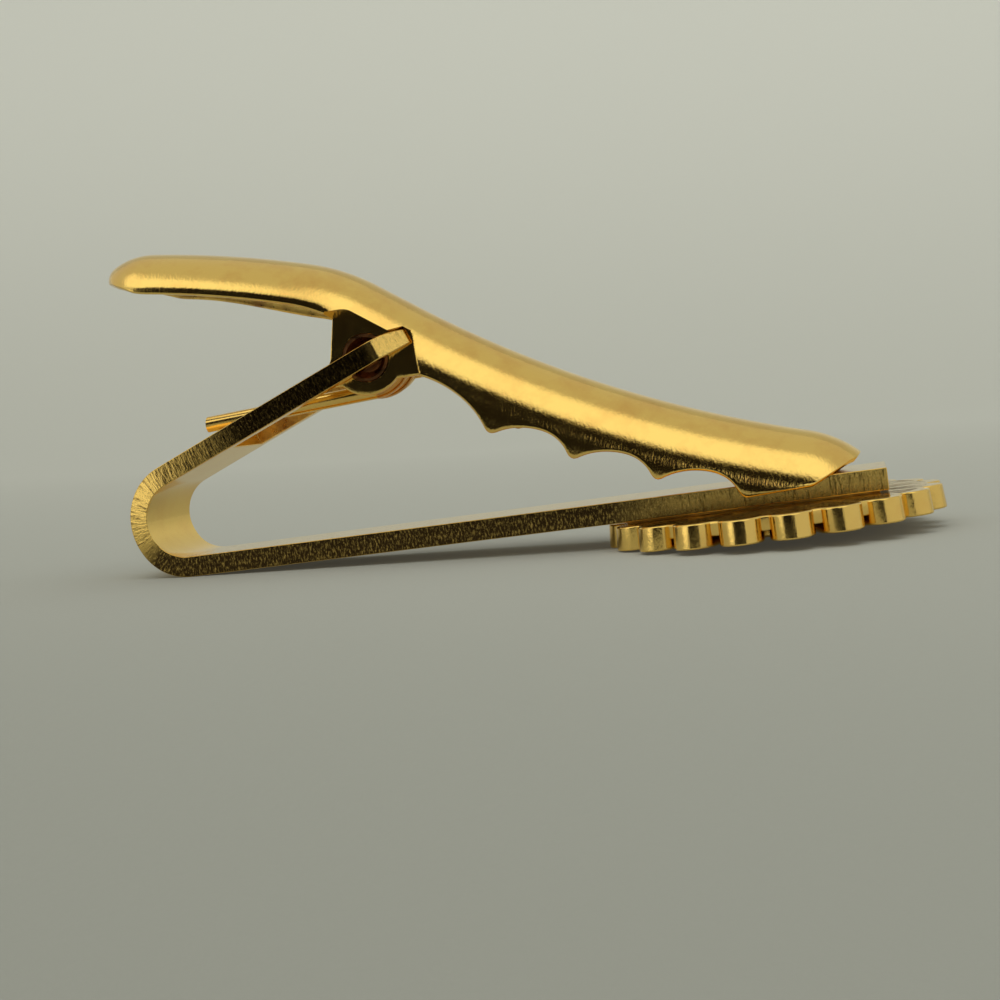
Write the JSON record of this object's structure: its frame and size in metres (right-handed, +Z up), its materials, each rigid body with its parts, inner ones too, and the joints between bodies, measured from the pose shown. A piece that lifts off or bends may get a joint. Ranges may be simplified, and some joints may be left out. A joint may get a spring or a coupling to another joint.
{
  "type": "tie clip",
  "caption": "Folded metal tie clip: a forked bar carries a sprung lever with a toothed half-round jaw that pinches cloth against the bar, behind a scalloped round rosette.",
  "frame": {"origin": "centre of the bounding box, on the table that the clip lies on face down, on its fold and the rosette's nearest petals", "axes": "+X along the bar from the fold to the rosette end, +Y across the bar's width, +Z up from the table"},
  "size_m": [0.0492, 0.019, 0.0199],
  "materials": {
    "bar_gold": "polished plate with sawn edges",
    "lever_gold": "polished plate",
    "pin_gold": "plated, unpolished",
    "wire_gold": "drawn wire, plated",
    "solder": "plated solder",
    "rosette_gold": "polished plate"
  },
  "bodies": {
    "frame": {"frame_bar": "bar_gold", "hinge_pin": "pin_gold", "torsion_spring": "wire_gold", "solder_seam": "solder", "rosette": "rosette_gold"},
    "lever": {"lever_jaw": "lever_gold"}
  },
  "joints": [
    {"name": "lever_pivot", "type": "hinge", "parent": "frame", "child": "lever", "pos_m": [-0.00786, 0, 0.01224], "axis": [0, -1, 0], "range_deg": [0, 25], "stiffness_Nm_per_rad": 0.38, "springref_deg": -20.05, "deforming": ["torsion_spring"]}
  ]
}
